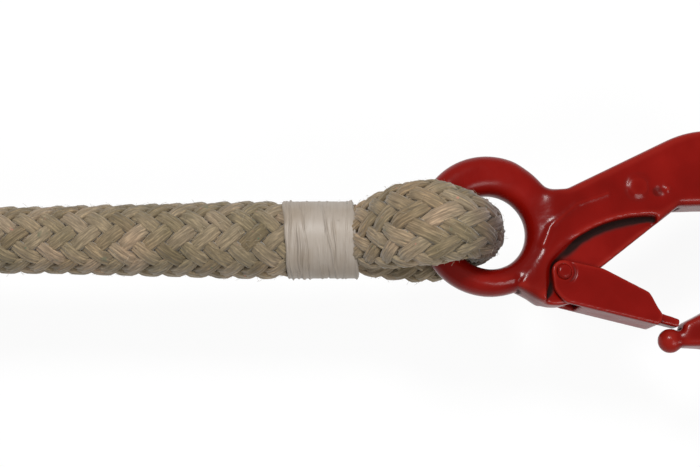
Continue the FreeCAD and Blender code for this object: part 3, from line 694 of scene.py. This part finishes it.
def shade_by_form(mesh, places, edges):
    """Marks the hollows, for painted shade, and the crests, for a painted highlight."""
    normals = np.empty(len(places) * 3, dtype=np.float32)
    mesh.vertices.foreach_get("normal", normals)
    bulge = ((places - relaxed(places, edges, FORM_ROUNDS)) * normals.reshape(-1, 3)).sum(1)
    _, _, over = in_hook_plane(places)
    # painted shade in the hollows, fainter on the hook's outer faces
    painted_hollow_shade = smoothstep(*HOLLOW_DEPTH, -bulge)
    painted_hollow_shade = painted_hollow_shade * (1 - THINNER_HOLLOW_SHADE * smoothstep(*DEEP_LEVEL, np.abs(over)))
    # painted highlight on the crests
    painted_crest_highlight = CREST_STRENGTH * smoothstep(*CREST_HEIGHT, bulge)
    for label, values in (("painted_hollow_shade", painted_hollow_shade), ("painted_crest_highlight", painted_crest_highlight)):
        layer = mesh.attributes.new(label, "FLOAT", "POINT")
        layer.data.foreach_set("value", values.astype(np.float32))


def enamelled(name, node_name, voxel, rounds, worked):
    """A piece under thick enamel: every edge of the steel is softened."""
    mesh = bpy.data.objects[node_name].data.copy()
    shape = bmesh.new()
    shape.from_mesh(mesh)
    bmesh.ops.remove_doubles(shape, verts=shape.verts, dist=WELD_DISTANCE)
    shape.to_mesh(mesh)
    shape.free()
    mesh.materials.clear()
    draft = show(name + "_draft", mesh)
    remesh = draft.modifiers.new("coat", "REMESH")
    remesh.mode = "VOXEL"
    remesh.voxel_size = voxel
    finished = plain_mesh(draft, name)
    bpy.data.objects.remove(draft)

    places = np.empty(len(finished.vertices) * 3, dtype=np.float32)
    finished.vertices.foreach_get("co", places)
    places = places.reshape(-1, 3).astype(float)
    edges = np.empty(len(finished.edges) * 2, dtype=np.int32)
    finished.edges.foreach_get("vertices", edges)
    edges = edges.reshape(-1, 2)
    places = relaxed(places, edges, rounds)
    places = worked(places, edges)
    finished.vertices.foreach_set("co", places.astype(np.float32).ravel())
    finished.update()
    finished.shade_smooth()
    shade_by_form(finished, places, edges)
    return show(name, finished)


# ---------------------------------------------------------------- materials

PAINTED_SHADE_FROM = 14.5 * MM            # from the eye's tip, where the painted shade and painted red reflection of the ring start
PAINTED_SHADE_TO = 4.5 * MM               # and where they are darkest


def new_material(name):
    material = bpy.data.materials.new(name)
    material.use_nodes = True
    tree = material.node_tree
    return material, tree, tree.nodes["Principled BSDF"]


def add_node(tree, kind, settings=None, inputs=None):
    made = tree.nodes.new(kind)
    for key, value in (settings or {}).items():
        setattr(made, key, value)
    for key, value in (inputs or {}).items():
        made.inputs[key].default_value = value
    return made


def ramp(tree, stops):
    """A colour ramp from (position, colour) pairs."""
    made = tree.nodes.new("ShaderNodeValToRGB")
    elements = made.color_ramp.elements
    while len(elements) < len(stops):
        elements.new(0.5)
    for element, (position, colour) in zip(elements, stops):
        element.position = position
        element.color = (*colour, 1)
    return made


def blend(tree, kind, factor, first, second):
    """Mixes two colours; each of them and the factor may be a socket or a value."""
    made = add_node(tree, "ShaderNodeMix", {"data_type": "RGBA", "blend_type": kind})
    factor_socket = made.inputs[0]
    for socket, value in ((factor_socket, factor), (made.inputs[6], first), (made.inputs[7], second)):
        if isinstance(value, bpy.types.NodeSocket):
            tree.links.new(value, socket)
        elif isinstance(value, tuple):
            socket.default_value = (*value, 1)
        else:
            socket.default_value = value
    return made.outputs[2]


def fleck_group():
    """Sparse specks of coloured lint: puts out where they are."""
    group = bpy.data.node_groups.new("lint_specks", "ShaderNodeTree")
    sockets = group.interface
    sockets.new_socket("Vector", in_out="INPUT", socket_type="NodeSocketVector")
    sockets.new_socket("Scale", in_out="INPUT", socket_type="NodeSocketFloat")
    sockets.new_socket("Cut", in_out="INPUT", socket_type="NodeSocketFloat")
    sockets.new_socket("Mask", in_out="OUTPUT", socket_type="NodeSocketFloat")
    given = group.nodes.new("NodeGroupInput")
    result = group.nodes.new("NodeGroupOutput")
    noise = add_node(group, "ShaderNodeTexNoise", None, {"Detail": 2.0, "Roughness": 0.6})
    group.links.new(given.outputs["Vector"], noise.inputs["Vector"])
    group.links.new(given.outputs["Scale"], noise.inputs["Scale"])
    over = add_node(group, "ShaderNodeMath", {"operation": "SUBTRACT"})
    group.links.new(noise.outputs["Fac"], over.inputs[0])
    group.links.new(given.outputs["Cut"], over.inputs[1])
    sharp = add_node(group, "ShaderNodeMath", {"operation": "MULTIPLY", "use_clamp": True})
    sharp.inputs[1].default_value = 22.0
    group.links.new(over.outputs[0], sharp.inputs[0])
    group.links.new(sharp.outputs[0], result.inputs["Mask"])
    return group


def specks(tree, group, vector, scale, cut):
    made = add_node(tree, "ShaderNodeGroup", {"node_tree": group}, {"Scale": scale, "Cut": cut})
    tree.links.new(vector, made.inputs["Vector"])
    return made.outputs["Mask"]


def braid_fibre(group):
    """Undyed soft fibre, greyish beige, with grubby patches, streaks and lint. The streaks are partly
    random yarn tone and partly painted shade and glints; the core and the eye's tip get painted shade.
    """
    material, tree, shader = new_material("braid_fibre")
    link = tree.links.new
    place = add_node(tree, "ShaderNodeTexCoord").outputs["Object"]
    shade = add_node(tree, "ShaderNodeAttribute", {"attribute_name": "strand_shade"})
    strand_tone = ramp(tree, [(0.0, (0.138, 0.100, 0.054)), (0.35, (0.172, 0.129, 0.074)),
                              (0.7, (0.196, 0.150, 0.094)), (1.0, (0.212, 0.154, 0.102))])
    link(shade.outputs["Fac"], strand_tone.inputs["Fac"])

    patches = add_node(tree, "ShaderNodeTexNoise", None, {"Scale": 55.0, "Detail": 4.0})
    link(place, patches.inputs["Vector"])
    patch_tone = ramp(tree, [(0.30, (0.72, 0.74, 0.66)), (0.5, (0.98, 0.98, 0.96)),
                             (0.70, (1.22, 1.12, 1.08))])
    link(patches.outputs["Fac"], patch_tone.inputs["Fac"])
    colour = blend(tree, "MULTIPLY", 1.0, strand_tone.outputs["Color"], patch_tone.outputs["Color"])

    yarn = add_node(tree, "ShaderNodeUVMap", {"uv_map": "yarn"})
    stretched = add_node(tree, "ShaderNodeMapping")
    stretched.inputs["Scale"].default_value = (260.0, 2300.0, 1.0)
    link(yarn.outputs["UV"], stretched.inputs["Vector"])
    fibres = add_node(tree, "ShaderNodeTexNoise", None, {"Scale": 1.0, "Detail": 5.0, "Roughness": 0.65})
    link(stretched.outputs["Vector"], fibres.inputs["Vector"])
    # fibre streaks: random yarn tone, with painted shade in the grooves between fibres and painted glints
    # on their tops
    fibre_tone_and_painted_glints = ramp(tree, [(0.34, (0.50, 0.47, 0.42)), (0.52, (1.0, 1.0, 1.0)),
                             (0.66, (1.85, 1.82, 1.80))])
    link(fibres.outputs["Fac"], fibre_tone_and_painted_glints.inputs["Fac"])
    colour = blend(tree, "MULTIPLY", 0.85, colour, fibre_tone_and_painted_glints.outputs["Color"])

    lint = [(420.0, 0.735, (0.030, 0.085, 0.050)), (330.0, 0.730, (0.045, 0.030, 0.022)),
            (380.0, 0.720, (0.330, 0.150, 0.100)), (150.0, 0.700, (0.115, 0.105, 0.060))]
    for number, (scale, cut, lint_colour) in enumerate(lint):
        moved = add_node(tree, "ShaderNodeMapping")
        moved.inputs["Location"].default_value = (0.37 * number, 0.11 * number, 0.0)
        link(place, moved.inputs["Vector"])
        mask = specks(tree, group, moved.outputs["Vector"], scale, cut)
        colour = blend(tree, "MIX", mask, colour, lint_colour)

    # the core takes a dark colour: painted shade seen between the strands
    inside = add_node(tree, "ShaderNodeMath", {"operation": "LESS_THAN"}, {1: PAINTED_SHADE_CORE_MARK / 2})
    link(shade.outputs["Fac"], inside.inputs[0])
    colour = blend(tree, "MIX", inside.outputs[0], colour, (0.075, 0.056, 0.036))

    # painted shade with a painted red reflection of the hook, on the eye's crown where it turns down into
    # the ring's hole
    where = add_node(tree, "ShaderNodeSeparateXYZ")
    link(place, where.inputs["Vector"])
    crown_painted_shade = add_node(tree, "ShaderNodeMapRange")
    crown_painted_shade.inputs["From Min"].default_value = CROWN_END_X - PAINTED_SHADE_FROM
    crown_painted_shade.inputs["From Max"].default_value = CROWN_END_X - PAINTED_SHADE_TO
    link(where.outputs["X"], crown_painted_shade.inputs["Value"])
    colour = blend(tree, "MULTIPLY", crown_painted_shade.outputs["Result"], colour, (0.36, 0.25, 0.25))
    link(colour, shader.inputs["Base Color"])

    bump = add_node(tree, "ShaderNodeBump", None, {"Strength": 0.55, "Distance": 0.35 * MM})
    link(fibres.outputs["Fac"], bump.inputs["Height"])
    link(bump.outputs["Normal"], shader.inputs["Normal"])
    shader.inputs["Roughness"].default_value = 0.72
    shader.inputs["Specular IOR Level"].default_value = 0.35
    shader.inputs["Sheen Weight"].default_value = 0.25
    return material


def fuzz_fibre():
    material, tree, shader = new_material("loose_fibre")
    place = add_node(tree, "ShaderNodeTexCoord").outputs["Object"]
    noise = add_node(tree, "ShaderNodeTexNoise", None, {"Scale": 90.0, "Detail": 2.0})
    tree.links.new(place, noise.inputs["Vector"])
    # loose fibres paler than the strands: painted glints of stray fibres
    tone = ramp(tree, [(0.35, (0.20, 0.16, 0.10)), (0.65, (0.38, 0.33, 0.25))])
    tree.links.new(noise.outputs["Fac"], tone.inputs["Fac"])
    tree.links.new(tone.outputs["Color"], shader.inputs["Base Color"])
    shader.inputs["Roughness"].default_value = 0.7
    return material


def tape_film(group):
    """Pale crumpled tape, creased round the rope, with smears and lint caught in it; its creases are
    painted darker as shade and its ridges lighter as highlights.
    """
    material, tree, shader = new_material("pale_tape")
    link = tree.links.new
    place = add_node(tree, "ShaderNodeTexCoord").outputs["Object"]
    drawn = add_node(tree, "ShaderNodeMapping")
    drawn.inputs["Scale"].default_value = (1900.0, 110.0, 110.0)
    link(place, drawn.inputs["Vector"])
    creases = add_node(tree, "ShaderNodeTexNoise", None, {"Scale": 1.0, "Detail": 4.0, "Roughness": 0.6})
    link(drawn.outputs["Vector"], creases.inputs["Vector"])
    # the crease noise that makes the bump also colours it: painted shade in the creases, painted highlight
    # on the ridges
    crease_painted_shade_and_highlight = ramp(tree, [(0.24, (0.190, 0.155, 0.122)), (0.36, (0.272, 0.232, 0.192)),
                              (0.64, (0.296, 0.256, 0.216)), (0.80, (0.400, 0.360, 0.320))])
    link(creases.outputs["Fac"], crease_painted_shade_and_highlight.inputs["Fac"])
    smear = add_node(tree, "ShaderNodeTexNoise", None, {"Scale": 70.0, "Detail": 3.0})
    link(place, smear.inputs["Vector"])
    smear_tone = ramp(tree, [(0.33, (0.86, 0.82, 0.76)), (0.55, (1.0, 1.0, 1.0))])
    link(smear.outputs["Fac"], smear_tone.inputs["Fac"])
    colour = blend(tree, "MULTIPLY", 1.0, crease_painted_shade_and_highlight.outputs["Color"], smear_tone.outputs["Color"])
    for scale, cut, lint_colour in ((300.0, 0.725, (0.02, 0.12, 0.08)), (240.0, 0.71, (0.20, 0.15, 0.11))):
        colour = blend(tree, "MIX", specks(tree, group, place, scale, cut), colour, lint_colour)
    link(colour, shader.inputs["Base Color"])
    bump = add_node(tree, "ShaderNodeBump", None, {"Strength": 0.5, "Distance": 0.25 * MM})
    link(creases.outputs["Fac"], bump.inputs["Height"])
    link(bump.outputs["Normal"], shader.inputs["Normal"])
    shader.inputs["Roughness"].default_value = 0.5
    return material


def red_enamel():
    """Thick glossy red enamel over a rough forging, with painted shade in its hollows and a painted
    highlight on its crests.
    """
    material, tree, shader = new_material("thick_red_enamel")
    link = tree.links.new
    place = add_node(tree, "ShaderNodeTexCoord").outputs["Object"]
    pools = add_node(tree, "ShaderNodeTexNoise", None, {"Scale": 45.0, "Detail": 3.0})
    link(place, pools.inputs["Vector"])
    tone = ramp(tree, [(0.30, (0.112, 0.0018, 0.0006)), (0.55, (0.146, 0.0022, 0.0008)),
                       (0.75, (0.182, 0.0034, 0.0014))])
    link(pools.outputs["Fac"], tone.inputs["Fac"])
    # painted shade in the hollows, nearly black; the same mask also dulls the gloss
    painted_hollow_shade = add_node(tree, "ShaderNodeAttribute", {"attribute_name": "painted_hollow_shade"})
    colour = blend(tree, "MIX", painted_hollow_shade.outputs["Fac"], tone.outputs["Color"], (0.010, 0.0020, 0.0012))
    # painted highlight on the crests, a lighter red
    painted_crest_highlight = add_node(tree, "ShaderNodeAttribute", {"attribute_name": "painted_crest_highlight"})
    colour = blend(tree, "MIX", painted_crest_highlight.outputs["Fac"], colour, (0.300, 0.0200, 0.0120))
    link(colour, shader.inputs["Base Color"])
    forging = add_node(tree, "ShaderNodeTexNoise", None, {"Scale": 210.0, "Detail": 3.0, "Roughness": 0.5})
    link(place, forging.inputs["Vector"])
    bump = add_node(tree, "ShaderNodeBump", None, {"Strength": 0.35, "Distance": 0.45 * MM})
    link(forging.outputs["Fac"], bump.inputs["Height"])
    link(bump.outputs["Normal"], shader.inputs["Normal"])
    shine = ramp(tree, [(0.35, (0.20, 0.20, 0.20)), (0.70, (0.34, 0.34, 0.34))])
    link(pools.outputs["Fac"], shine.inputs["Fac"])
    dulled = blend(tree, "MIX", painted_hollow_shade.outputs["Fac"], shine.outputs["Color"], (0.80, 0.80, 0.80))
    link(dulled, shader.inputs["Roughness"])
    shader.inputs["Specular IOR Level"].default_value = 0.13
    return material


def spring_wire():
    material, tree, shader = new_material("spring_wire")
    place = add_node(tree, "ShaderNodeTexCoord").outputs["Object"]
    noise = add_node(tree, "ShaderNodeTexNoise", None, {"Scale": 700.0, "Detail": 2.0})
    tree.links.new(place, noise.inputs["Vector"])
    tone = ramp(tree, [(0.35, (0.30, 0.29, 0.28)), (0.65, (0.55, 0.55, 0.56))])
    tree.links.new(noise.outputs["Fac"], tone.inputs["Fac"])
    tree.links.new(tone.outputs["Color"], shader.inputs["Base Color"])
    shader.inputs["Metallic"].default_value = 1.0
    shader.inputs["Roughness"].default_value = 0.35
    return material


# ---------------------------------------------------------------- the object

def finish(piece, material, body, slot, *nodes):
    """Gives a new piece its material and body, and hides the parts that it stands in for."""
    piece.data.materials.clear()
    piece.data.materials.append(material)
    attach(piece, body)
    if nodes:
        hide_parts(*nodes)


def paint(node_name, material):
    piece = bpy.data.objects[node_name]
    if not piece.material_slots:
        piece.data.materials.append(material)
    for slot in piece.material_slots:
        slot.material = material


def rope(group):
    fibre = braid_fibre(group)
    loose = fuzz_tree(fuzz_fibre())
    standing_line = standing_route()
    standing = braid("braided_standing_part", standing_line, 11, True)
    eye = braid("braided_eye", eye_route(), 23, True)
    far_eye = braid("braided_far_eye", far_route(), 37, False)
    finish(standing, fibre, "rope", "braid", "rope_standing")
    finish(eye, fibre, "rope", "braid", "eye_upper_leg", "eye_crown", "eye_lower_leg")
    finish(far_eye, fibre, "rope", "braid",
           "far_eye_left_leg", "far_eye_right_leg", "far_eye_bight")
    for name, source in (("standing_fuzz", standing), ("eye_fuzz", eye), ("far_eye_fuzz", far_eye)):
        hairs = fuzz(name, source, loose)
        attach(hairs, "rope")
    paint("rope_tail", fibre)
    paint("far_rope_tail", fibre)


def seizings(group):
    film = tape_film(group)
    length = THROAT_X - TAPE_START_X
    near = tape("wound_tape", TAPE_START_X, length, False, 5)
    far = tape("far_wound_tape", FAR_THROAT_X, length, True, 8)
    finish(near, film, "rope", "tape", "seizing_tape")
    finish(far, film, "rope", "tape", "far_seizing_tape")


def hook():
    enamel = red_enamel()
    body = enamelled("enamelled_hook", "hook_body", voxel=0.50 * MM, rounds=12, worked=forged_flow)
    gate = enamelled("enamelled_gate", "gate", voxel=0.35 * MM, rounds=14, worked=dented_cheek)
    pin = enamelled("enamelled_pin", "gate_pin", voxel=0.22 * MM, rounds=6, worked=raised_boss)
    finish(body, enamel, "hook", "red_enamel", "hook_body")
    finish(gate, enamel, "gate", "red_enamel", "gate")
    finish(pin, enamel, "hook", "red_enamel", "gate_pin")
    paint("gate_spring", spring_wire())


# ---------------------------------------------------------------- studio

VIEW_WIDTH = 245.0 * MM          # seen across, at the rope's height
VIEW_ELEVATION = 78.0
LENS = 70.0
SENSOR = 36.0
FLOOR_Z = -40.0 * MM             # room for the hook to swing down
FLOOR_REACH = 30.0
FLOOR_WHITENESS = 0.92           # the rest is left for the shadow
SKY_STRENGTH = 0.42
AIM = Vector((THROAT_X - 2.2 * MM, ROPE_Y + 1.1 * MM, 20.0 * MM))


def camera():
    data = bpy.data.cameras.new("camera")
    data.lens = LENS
    data.sensor_width = SENSOR
    seen = bpy.data.objects.new("camera", data)
    bpy.context.scene.collection.objects.link(seen)
    angle = math.radians(VIEW_ELEVATION)
    distance = VIEW_WIDTH * LENS / SENSOR
    seen.location = AIM + Vector((0, -math.cos(angle), math.sin(angle))) * distance
    seen.rotation_euler = (math.pi / 2 - angle, 0, 0)
    bpy.context.scene.camera = seen


def lamp(name, place, size, power):
    data = bpy.data.lights.new(name, "AREA")
    data.shape = "DISK"
    data.size = size
    data.energy = power
    light = bpy.data.objects.new(name, data)
    bpy.context.scene.collection.objects.link(light)
    light.location = place
    towards = Vector((THROAT_X, ROPE_Y, 0)) - Vector(place)
    light.rotation_euler = towards.to_track_quat("-Z", "Y").to_euler()


def floor():
    """A plain white floor; rays from the eye and from gloss see it white."""
    mesh = bpy.data.meshes.new("floor")
    turns = ((-1, -1), (1, -1), (1, 1), (-1, 1))
    corners = [(x * FLOOR_REACH, y * FLOOR_REACH, FLOOR_Z) for x, y in turns]
    mesh.from_pydata(corners, [], [(0, 1, 2, 3)])
    piece = show("floor", mesh)
    material, tree, shader = new_material("floor")
    link = tree.links.new
    shader.inputs["Base Color"].default_value = (0.80, 0.80, 0.80, 1)
    shader.inputs["Roughness"].default_value = 0.9
    white = add_node(tree, "ShaderNodeEmission", None, {"Color": (1, 1, 1, 1), "Strength": 1.0})
    rays = add_node(tree, "ShaderNodeLightPath")
    seen = add_node(tree, "ShaderNodeMath", {"operation": "MAXIMUM"})
    link(rays.outputs["Is Camera Ray"], seen.inputs[0])
    link(rays.outputs["Is Glossy Ray"], seen.inputs[1])
    through = add_node(tree, "ShaderNodeMath", {"operation": "MAXIMUM"})
    link(seen.outputs[0], through.inputs[0])
    link(rays.outputs["Is Transmission Ray"], through.inputs[1])
    share = add_node(tree, "ShaderNodeMath", {"operation": "MULTIPLY"}, {1: FLOOR_WHITENESS})
    link(through.outputs[0], share.inputs[0])
    mix = add_node(tree, "ShaderNodeMixShader")
    link(share.outputs[0], mix.inputs["Fac"])
    link(shader.outputs["BSDF"], mix.inputs[1])
    link(white.outputs["Emission"], mix.inputs[2])
    link(mix.outputs["Shader"], tree.nodes["Material Output"].inputs["Surface"])
    piece.data.materials.append(material)


def studio():
    world = bpy.data.worlds.new("world")
    world.use_nodes = True
    sky = world.node_tree.nodes["Background"]
    sky.inputs["Color"].default_value = (1, 1, 1, 1)
    sky.inputs["Strength"].default_value = SKY_STRENGTH
    bpy.context.scene.world = world
    bpy.context.scene.view_settings.view_transform = "Standard"
    lamp("key", (-0.08, 0.34, 0.78), 0.20, 6.6)
    lamp("fill", (0.50, -0.40, 0.65), 0.34, 3.4)
    floor()


lint_specks = fleck_group()
rope(lint_specks)
seizings(lint_specks)
hook()
camera()
studio()
